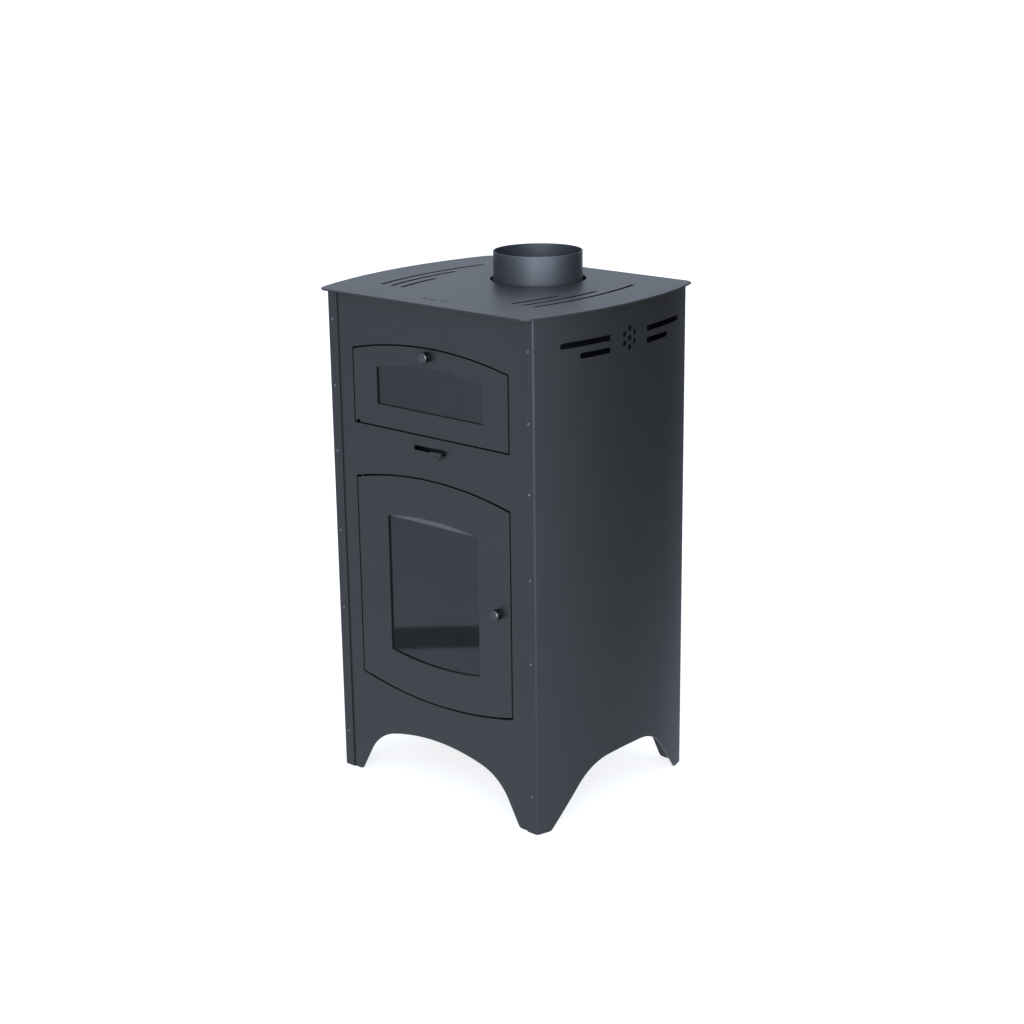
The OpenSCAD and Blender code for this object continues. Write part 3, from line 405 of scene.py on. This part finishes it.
# each slot's kind of material, its dark and light tone, its range of roughness, and extras
GLASS_LOOK = (dark_glass, (0.006, 0.008, 0.009), (0.010, 0.012, 0.013), (0.012, 0.022))
LOOKS = {
    "casing_paint": (powder_coat, (0.0135, 0.0138, 0.0145), (0.0155, 0.0158, 0.0165),
                     (0.31, 0.35)),
    # the top plate's paint is a lighter copy of the casing paint: painted light standing in
    # for the brighter light on top; its higher roughness is its own
    "top_paint": (powder_coat, (0.0155, 0.016, 0.0165), (0.0175, 0.018, 0.0185),
                  (0.41, 0.45)),
    "collar_paint": (powder_coat, (0.070, 0.074, 0.080), (0.100, 0.105, 0.111),
                     (0.36, 0.46), 420, 0.00009, 0.7),
    "screw_steel": (powder_coat, (0.09, 0.095, 0.105), (0.14, 0.145, 0.155),
                    (0.22, 0.28), 700, 0.00003, 0.6),
    "stove_black": (powder_coat, (0.008, 0.008, 0.009), (0.014, 0.014, 0.015), (0.6, 0.75)),
    "oven_steel": (powder_coat, (0.012, 0.012, 0.013), (0.02, 0.02, 0.022), (0.5, 0.6)),
    "rack_wire": (plain_metal, (0.5, 0.5, 0.5), (0.65, 0.65, 0.65), (0.15, 0.25)),
    "firebrick": (mineral, (0.42, 0.33, 0.22), (0.60, 0.50, 0.36)),
    "grate_iron": (mineral, (0.012, 0.012, 0.013), (0.03, 0.03, 0.032), (0.6, 0.8),
                   200, 0.0003),
    "pan_steel": (plain_metal, (0.18, 0.18, 0.19), (0.3, 0.3, 0.31), (0.35, 0.5)),
    "fire_glass": GLASS_LOOK,
    "oven_glass": GLASS_LOOK,
    "strip_steel": (powder_coat, (0.05, 0.054, 0.058), (0.062, 0.066, 0.071), (0.4, 0.5)),
    "glass_tape": (mineral, (0.012, 0.012, 0.012), (0.03, 0.03, 0.03), (0.85, 0.95),
                   900, 0.0002),
    "sealing_rope": (mineral, (0.03, 0.03, 0.03), (0.09, 0.09, 0.09), (0.85, 0.95),
                     700, 0.0005),
    "clip_steel": (plain_metal, (0.35, 0.35, 0.36), (0.5, 0.5, 0.52)),
    "pin_steel": (plain_metal, (0.03, 0.03, 0.032), (0.05, 0.05, 0.052), (0.35, 0.45)),
    "knob_steel": (plain_metal, (0.08, 0.085, 0.09), (0.125, 0.13, 0.137), (0.2, 0.3)),
}
M = {name: make(name, *values) for name, (make, *values) in LOOKS.items()}

SLOT_OF = {r["node"]: r["material_slot"] for r in frame["record"]["subparts"]}


def dress(node):
    """Shows a CAD node as it is, with its material, soft edges and clean shading."""
    ob = frame["nodes"][node]
    me = ob.data
    if "custom_normal" in me.attributes:
        me.attributes.remove(me.attributes["custom_normal"])
    me.materials.clear()
    me.materials.append(M[SLOT_OF[node]])
    me.polygons.foreach_set("use_smooth", [True] * len(me.polygons))
    weld = ob.modifiers.new("weld", "WELD")
    weld.merge_threshold = 2e-6
    flat = ob.modifiers.new("flat", "DECIMATE")
    flat.decimate_type = "DISSOLVE"
    flat.angle_limit = math.radians(0.5)
    bv = ob.modifiers.new("bevel", "BEVEL")
    bv.width = EDGE * MM
    bv.segments = 2
    bv.limit_method = "ANGLE"
    bv.angle_limit = math.radians(35)
    bv.harden_normals = False
    wn = ob.modifiers.new("weighted", "WEIGHTED_NORMAL")
    wn.keep_sharp = True


# ---- camera, as the picture was taken ----

YAW, PITCH, ROLL = math.radians(41.722), math.radians(16.675), math.radians(-0.753)
CAMERA_AT = (2.096, -2.344, 1.404)
CAMERA_LENS = 67.73

back = Vector((math.sin(YAW) * math.cos(PITCH), -math.cos(YAW) * math.cos(PITCH),
               math.sin(PITCH)))
right = Vector((math.cos(YAW), math.sin(YAW), 0))
up = back.cross(right)
cam_x = math.cos(ROLL) * right + math.sin(ROLL) * up
cam_y = -math.sin(ROLL) * right + math.cos(ROLL) * up
camera_data = bpy.data.cameras.new("camera")
camera_data.sensor_width = 36
camera_data.lens = CAMERA_LENS
camera_data.clip_end = 100
camera = new_object("camera", camera_data)
facing = Matrix((cam_x, cam_y, back)).transposed().to_4x4()
camera.matrix_world = Matrix.Translation(CAMERA_AT) @ facing
bpy.context.scene.camera = camera

# ---- front and back of the casing ----

FRONT_ARCH = arch_points(CASING_W / 2 - FRONT_FOOT_W, FRONT_FOOT_SLOPE, FRONT_DOME_R)
SIDE_ARCH = arch_points(CASING_D / 2 - SIDE_FOOT_W, SIDE_FOOT_SLOPE, SIDE_DOME_R)

foot_line = [(-PANEL_HALF, 0)] + FRONT_ARCH + [(PANEL_HALF, 0), (PANEL_HALF, CASING_H)]
tab = [(TAB_X + TAB_HALF, CASING_H), (TAB_X + TAB_HALF, CASING_H + TOP_T),
       (TAB_X - TAB_HALF, CASING_H + TOP_T), (TAB_X - TAB_HALF, CASING_H)]
front_outline = foot_line + tab + [(-x, z) for x, z in tab[::-1]] + [(-PANEL_HALF, CASING_H)]
front = upright_plate("front_sheet", [
    front_outline,
    door_points(DOOR_HALF, FIRE_LOW, FIRE_HIGH, DOOR_SAG, GAP, True),
    door_points(DOOR_HALF, OVEN_LOW, OVEN_HIGH, DOOR_SAG, GAP, False),
    rect_points(*AIR_SLOT)], PANEL_Y)
finish_piece(front, "stove", "casing_paint", "front_panel")

back_slots = []
for x0, x1 in BACK_SLOT_XS:
    for top_slot in BACK_SLOT_TOPS:
        for i in range(4):
            z = top_slot - BACK_SLOT_PITCH * i + BACK_SLOT_R
            back_slots.append(arc(x0, z, BACK_SLOT_R, 90, 270, 8)
                              + arc(x1, z, BACK_SLOT_R, -90, 90, 8))
rear = upright_plate("back_sheet", [foot_line + [(-PANEL_HALF, CASING_H)]] + back_slots,
                     CASING_D / 2 - 2 * SHEET)
finish_piece(rear, "stove", "casing_paint", "back_panel")


# ---- sides of the casing ----

def vent_holes():
    """The vents and the rosette between them, as seen from the right, in Y and Z."""
    near, far = VENT_MID + VENT_FROM, VENT_MID - VENT_FROM
    holes = []
    for row, length in enumerate(VENT_LENGTHS):
        top = CASING_H - VENT_DROP - VENT_PITCH * row
        low, mid = top - 2 * VENT_R, top - VENT_R
        holes.append([(near, low)] + arc(near + length - VENT_R, mid, VENT_R, -90, 90, 10)
                     + [(near, top)])
        holes.append([(far, top)] + arc(far - length + VENT_R, mid, VENT_R, 90, 270, 10)
                     + [(far, low)])
    rosette = CASING_H - VENT_DROP - ROSETTE_DROP
    holes.append(circle_points(VENT_MID, rosette, ROSETTE_HOLE_R, 24))
    for i in range(6):
        a = math.radians(60 * i + 30)
        holes.append(circle_points(VENT_MID + ROSETTE_R * math.cos(a),
                                   rosette + ROSETTE_R * math.sin(a), ROSETTE_HOLE_R, 24))
    return holes


def side_sheet(name, sign, node):
    """A bowed sheet: drawn flat, cut into narrow columns, then bent along its plan."""
    fold_y = CASING_D / 2 - FOLD_R
    fold_x = SIDE_CX + math.sqrt((SIDE_R - FOLD_R) ** 2 - fold_y**2)
    fold_a = math.asin(fold_y / (SIDE_R - FOLD_R))
    web_end = SIDE_R * math.sin(fold_a)
    fold_len = FOLD_R * (math.pi / 2 - fold_a)
    flange_len = fold_x - (CASING_W / 2 - FLANGE_W)
    end = web_end + fold_len + flange_len

    def bend(u, w):
        """The place of a point u along the sheet and w below its outer face."""
        s, a = (1 if u >= 0 else -1), abs(u)
        if a <= web_end:
            t = math.asin(a / SIDE_R)
            x, y = SIDE_CX + (SIDE_R - w) * math.cos(t), (SIDE_R - w) * math.sin(t)
        elif a <= web_end + fold_len:
            t = fold_a + (a - web_end) / FOLD_R
            x, y = fold_x + (FOLD_R - w) * math.cos(t), fold_y + (FOLD_R - w) * math.sin(t)
        else:
            x, y = fold_x - (a - web_end - fold_len), CASING_D / 2 - w
        return x, s * y

    def unrolled(points):
        """The cuts are made level through the bowed web, so they spread a little when flat."""
        return [(SIDE_R * math.asin(y / SIDE_R), z) for y, z in points]

    outline = ([(-end, 0)] + unrolled(SIDE_ARCH)
               + [(end, 0), (end, CASING_H), (-end, CASING_H)])
    holes = [unrolled(points) for points in vent_holes()]
    for s in (-1, 1):
        for z in SCREW_ZS:
            holes.append(circle_points(s * (end - SCREW_IN), z, SCREW_HOLE_R, 16))
    me = plate_mesh(name, [outline] + holes, SHEET, 0.35)
    bm = bmesh.new()
    bm.from_mesh(me)
    bmesh.ops.remove_doubles(bm, verts=bm.verts, dist=1e-4)
    cuts = [web_end * i / 24 for i in range(-24, 25)]
    for s in (-1, 1):
        cuts += [s * (web_end + fold_len * i / 6) for i in range(1, 7)]
    for u in cuts:
        bmesh.ops.bisect_plane(bm, geom=bm.verts[:] + bm.edges[:] + bm.faces[:], dist=1e-5,
                               plane_co=(u, 0, 0), plane_no=(1, 0, 0))
    for v in bm.verts:
        x, y = bend(v.co.x, SHEET - v.co.z)
        v.co = Vector((sign * x, y, v.co.y)) * MM
    bmesh.ops.remove_doubles(bm, verts=bm.verts, dist=1e-7)
    bmesh.ops.recalc_face_normals(bm, faces=bm.faces)
    bm.to_mesh(me)
    bm.free()
    ob = new_object(name, me)
    shade(ob)
    finish_piece(ob, "stove", "casing_paint", node)


side_sheet("right_side_sheet", 1, "right_side_panel")
side_sheet("left_side_sheet", -1, "left_side_panel")


# ---- top plate ----

def top_outline():
    """Bowed sides with round corners, straight front and back edges."""
    r = SIDE_R + TOP_OVER_SIDE
    cy = CASING_D / 2 + TOP_OVER_END - TOP_CORNER_R
    cx = SIDE_CX + math.sqrt((r - TOP_CORNER_R) ** 2 - cy**2)
    a = math.degrees(math.asin(cy / (r - TOP_CORNER_R)))
    right_half = (arc(cx, -cy, TOP_CORNER_R, -90, -a, 14)
                  + arc(SIDE_CX, 0, r, -a, a, 64)[1:-1]
                  + arc(cx, cy, TOP_CORNER_R, a, 90, 14))
    left_half = [(-x, y) for x, y in right_half[::-1]]
    return right_half + left_half


def curved_slot(inset, y0, y1):
    """A slot with round ends that follows the right side sheet at a distance inside it."""
    r, w = SIDE_R - inset, TOP_SLOT_W / 2
    a0, a1 = math.degrees(math.asin(y0 / r)), math.degrees(math.asin(y1 / r))
    outer = arc(SIDE_CX, 0, r + w, a0, a1, 40)
    inner = arc(SIDE_CX, 0, r - w, a1, a0, 40)
    c1 = (SIDE_CX + r * math.cos(math.radians(a1)), r * math.sin(math.radians(a1)))
    c0 = (SIDE_CX + r * math.cos(math.radians(a0)), r * math.sin(math.radians(a0)))
    cap1 = arc(c1[0], c1[1], w, a1, a1 + 180, 8)[1:-1]
    cap0 = arc(c0[0], c0[1], w, a0 + 180, a0 + 360, 8)[1:-1]
    return outer + cap1 + inner + cap0


top_holes = [circle_points(0, FLUE_Y, FLUE_HOLE_R, 96)]
for i, length in enumerate(TOP_SLOT_LENGTHS):
    pts = curved_slot(TOP_SLOT_INSET + TOP_SLOT_PITCH * i, TOP_SLOT_START,
                      TOP_SLOT_START + length)
    top_holes += [pts, [(-x, y) for x, y in pts]]
for x in (-TAB_X, TAB_X):
    top_holes.append(rect_points(x - TAB_HALF - TAB_FIT, PANEL_Y - TAB_FIT,
                                 x + TAB_HALF + TAB_FIT, PANEL_BACK_Y + TAB_FIT))
for x in SMALL_SLOT_XS:
    top_holes.append(rect_points(x - SMALL_SLOT_HALF, SMALL_SLOT_Y0,
                                 x + SMALL_SLOT_HALF, SMALL_SLOT_Y1))
top = level_plate("top_sheet", [top_outline()] + top_holes, CASING_H, TOP_T, 0.5)
# the top plate takes the lighter copy of the casing paint, painted light for the brighter top
finish_piece(top, "stove", "top_paint", "top_plate")

# ---- flue collar ----

collar = lathe("flue_tube", FLUE_PROFILE, (0, FLUE_Y, 0), (0, 0, 1), 256)
# the weld that closes the rolled tube stands a little proud on the inside
for v in collar.data.vertices:
    x, y, z = v.co / MM
    turn = math.degrees(math.atan2(y - FLUE_Y, x))
    inside = math.hypot(x, y - FLUE_Y) < FLUE_IN_R + 0.2 and z < 899
    if inside and abs(turn - SEAM_AT) < SEAM_HALF:
        v.co.x *= SEAM_R / FLUE_IN_R
        v.co.y = (FLUE_Y + (y - FLUE_Y) * SEAM_R / FLUE_IN_R) * MM
finish_piece(collar, "stove", "collar_paint", "flue_collar")

# ---- screws ----

def joined(name, parts):
    """One object from several of the same kind."""
    bm = bmesh.new()
    for part in parts:
        bm.from_mesh(part.data)
        me = part.data
        bpy.data.objects.remove(part)
        bpy.data.meshes.remove(me)
    me = bpy.data.meshes.new(name)
    bm.to_mesh(me)
    bm.free()
    return new_object(name, me)


def screw_row(name, y, out, node):
    """Domed heads on the flanges, each with a round socket, and the shanks behind them."""
    heads = []
    for x in (-SCREW_X, SCREW_X):
        for z in SCREW_ZS:
            heads.append(lathe("screw", SCREW_PROFILE, (x, y, z), (0, out, 0), 24))
    ob = joined(name, heads)
    shade(ob, 40)
    finish_piece(ob, "stove", "screw_steel", node)


screw_row("front_screw_heads", -CASING_D / 2, -1, "front_screws")
screw_row("back_screw_heads", CASING_D / 2, 1, "back_screws")

# ---- sealing ropes ----

ROPE_HALF = 3.5
ROPE_CORNER = 9.0
ROPE_LAY = 9.0                   # length of one turn of its strands
ROPE_STRANDS = 3
ROPE_SIDES = 18
ROPE_STEP = 1.5


def rope(node, body):
    """A laid rope round the back of a door frame, inside the box of its CAD node."""
    lo, hi = (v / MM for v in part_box(node))
    half_t = (hi.y - lo.y) / 2
    y = (lo.y + hi.y) / 2
    inset = ROPE_HALF + ROPE_CORNER
    x0, x1, z0, z1 = lo.x + inset, hi.x - inset, lo.z + inset, hi.z - inset
    path = []
    for cx, cz, a in ((x1, z0, -90), (x1, z1, 0), (x0, z1, 90), (x0, z0, 180)):
        path += arc(cx, cz, ROPE_CORNER, a, a + 90, 8)
    dense = []
    for (xa, za), (xb, zb) in zip(path, path[1:] + path[:1]):
        n = max(1, round(math.hypot(xb - xa, zb - za) / ROPE_STEP))
        dense += [(xa + (xb - xa) * i / n, za + (zb - za) * i / n) for i in range(n)]
    total = sum(math.dist(a, b) for a, b in zip(dense, dense[1:] + dense[:1]))
    twist = 2 * math.pi * round(total / ROPE_LAY) / total
    bm = bmesh.new()
    rings, along = [], 0.0
    for i, (x, z) in enumerate(dense):
        px, pz = dense[i - 1]
        nx, nz = dense[(i + 1) % len(dense)]
        length = math.hypot(nx - px, nz - pz)
        ox, oz = (nz - pz) / length, -(nx - px) / length
        ring = []
        for k in range(ROPE_SIDES):
            t = 2 * math.pi * k / ROPE_SIDES
            swell = 0.95 + 0.05 * math.cos(ROPE_STRANDS * t + twist * along)
            w, d = ROPE_HALF * swell * math.cos(t), half_t * swell * math.sin(t)
            ring.append(bm.verts.new(Vector((x + ox * w, y + d, z + oz * w)) * MM))
        rings.append(ring)
        along += math.dist((x, z), (nx, nz))
    for a, b in zip(rings, rings[1:] + rings[:1]):
        for k in range(ROPE_SIDES):
            j = (k + 1) % ROPE_SIDES
            bm.faces.new((a[k], a[j], b[j], b[k]))
    bmesh.ops.recalc_face_normals(bm, faces=bm.faces)
    me = bpy.data.meshes.new(node + "_rope")
    bm.to_mesh(me)
    bm.free()
    ob = new_object(node + "_rope", me)
    me.polygons.foreach_set("use_smooth", [True] * len(me.polygons))
    finish_piece(ob, body, "sealing_rope", node)


rope("fire_door_gasket", "fire_door")
rope("oven_door_gasket", "oven_door")

# ---- doors ----

fire_panel = upright_plate("fire_door_sheet", [
    door_points(DOOR_HALF, *FIRE_PANEL, -GAP, True),
    door_points(*FIRE_WINDOW, 0, True),
    circle_points(*FIRE_KNOB, KNOB_HOLE_R, 24)], PANEL_Y)
finish_piece(fire_panel, "fire_door", "casing_paint", "fire_door_panel")

# the outline steps round the hinge notch just after its lower left corner
notch_x0, notch_z0, notch_x1, notch_z1 = HINGE_NOTCH
notch = [(notch_x0, notch_z0), (notch_x0, notch_z1), (notch_x1, notch_z1),
         (notch_x1, notch_z0)]
oven_outer = door_points(DOOR_HALF, OVEN_LOW, OVEN_HIGH, DOOR_SAG, -GAP, False)
oven_panel = upright_plate("oven_door_sheet", [
    oven_outer[:1] + notch + oven_outer[1:],
    door_points(*OVEN_WINDOW, 0, False),
    circle_points(*OVEN_KNOB, KNOB_HOLE_R, 24)], PANEL_Y)
finish_piece(oven_panel, "oven_door", "casing_paint", "oven_door_panel")

for node in frame["nodes"]:
    if not frame["nodes"][node].hide_render:
        dress(node)

# ---- floor ----

scene = bpy.context.scene
scene.view_settings.view_transform = "Standard"


def stage_plane(name, size, material):
    """A level square at the height of the feet."""
    me = bpy.data.meshes.new(name)
    h = size / 2
    me.from_pydata([(-h, -h, 0), (h, -h, 0), (h, h, 0), (-h, h, 0)], [], [(0, 1, 2, 3)])
    ob = new_object(name, me)
    me.materials.append(material)
    return ob


floor_mat, nt, bsdf, coords = base_material("floor_paper")
link(nt, two_tone(nt, noise(nt, coords, 3), (0.50, 0.50, 0.50), (0.53, 0.53, 0.53)),
     bsdf.inputs["Base Color"])
bsdf.inputs["Roughness"].default_value = 0.9
bsdf.inputs["Specular IOR Level"].default_value = 0.0
bsdf.inputs["Emission Color"].default_value = (1, 1, 1, 1)
bsdf.inputs["Emission Strength"].default_value = 0.75
floor = stage_plane("floor", 120, floor_mat)
# the sheen on the sides comes from the studio round the stove, not from the paper
floor.visible_glossy = False

# ---- studio light ----

world = bpy.data.worlds.new("studio")
scene.world = world
world.use_nodes = True
wt = world.node_tree
sky = wt.nodes["Background"]
direction = wt.nodes.new("ShaderNodeTexCoord").outputs["Generated"]
split = wt.nodes.new("ShaderNodeSeparateXYZ")
link(wt, direction, split.inputs[0])
height = split.outputs["Z"]


def math_node(op, a, b):
    m = wt.nodes.new("ShaderNodeMath")
    m.operation = op
    for socket, value in zip(m.inputs, (a, b)):
        if isinstance(value, float):
            socket.default_value = value
        else:
            link(wt, value, socket)
    return m.outputs[0]


def ramp(value, x0, x1, y0, y1):
    """A soft step from y0 to y1 while the value goes from x0 to x1."""
    m = wt.nodes.new("ShaderNodeMapRange")
    m.interpolation_type = "SMOOTHSTEP"
    for socket, number in zip(m.inputs[1:5], (x0, x1, y0, y1)):
        socket.default_value = number
    link(wt, value, m.inputs["Value"])
    return m.outputs["Result"]


def patch(azimuth, spread, high, low=None, strength=1.0):
    """A soft part of the studio round an azimuth in degrees: spread, high and low are the
    two values of the cosine and of the height between which it fades."""
    dot = wt.nodes.new("ShaderNodeVectorMath")
    dot.operation = "DOT_PRODUCT"
    link(wt, direction, dot.inputs[0])
    a = math.radians(azimuth)
    dot.inputs[1].default_value = (math.cos(a), math.sin(a), 0)
    out = ramp(dot.outputs["Value"], *spread, 0.0, strength)
    out = math_node("MULTIPLY", out, ramp(height, *high, 1.0, 0.0))
    if low:
        out = math_node("MULTIPLY", out, ramp(height, *low, 0.0, 1.0))
    return out


# A soft bright studio with an unlit corner to the right and behind, a dim wall to the left,
# a bright window in front on the right, and a dark skirting low in front on the left, which
# the glass of the doors picks up.
corner = patch(61, (0.64, 0.94), (0.3, 0.6), (-0.55, -0.25))
skirting = patch(-132, (0.5, 0.7), (-0.3435, -0.342), (-0.3545, -0.3525), 0.8)
wall = patch(-172, (0.72, 0.95), (0.3, 0.6), None, 0.72)
window = patch(-48, (0.60, 0.88), (0.72, 0.92), (-0.28, -0.17), 3.0)
light = math_node("SUBTRACT", 1.0, corner)
for dimmer in (skirting, wall):
    light = math_node("MULTIPLY", light, math_node("SUBTRACT", 1.0, dimmer))
light = math_node("ADD", light, window)
sky.inputs["Color"].default_value = (0.76, 0.86, 1.03, 1)
link(wt, light, sky.inputs["Strength"])
# what is seen above the floor is plain and pale all round
backdrop = wt.nodes.new("ShaderNodeBackground")
backdrop.inputs["Color"].default_value = (1, 1, 1, 1)
seen = wt.nodes.new("ShaderNodeMixShader")
link(wt, wt.nodes.new("ShaderNodeLightPath").outputs["Is Camera Ray"], seen.inputs["Fac"])
link(wt, sky.outputs["Background"], seen.inputs[1])
link(wt, backdrop.outputs["Background"], seen.inputs[2])
link(wt, seen.outputs["Shader"], wt.nodes["World Output"].inputs["Surface"])

KEY_AT, KEY_TARGET = Vector((1.9, -2.9, 1.3)), Vector((0, 0, 0.5))
key_data = bpy.data.lights.new("key", "AREA")
key_data.shape = "RECTANGLE"
key_data.size, key_data.size_y = 1.3, 1.6
key_data.energy = 22
key = new_object("key", key_data)
key.location = KEY_AT
key.rotation_euler = (KEY_TARGET - KEY_AT).to_track_quat("-Z", "Y").to_euler()
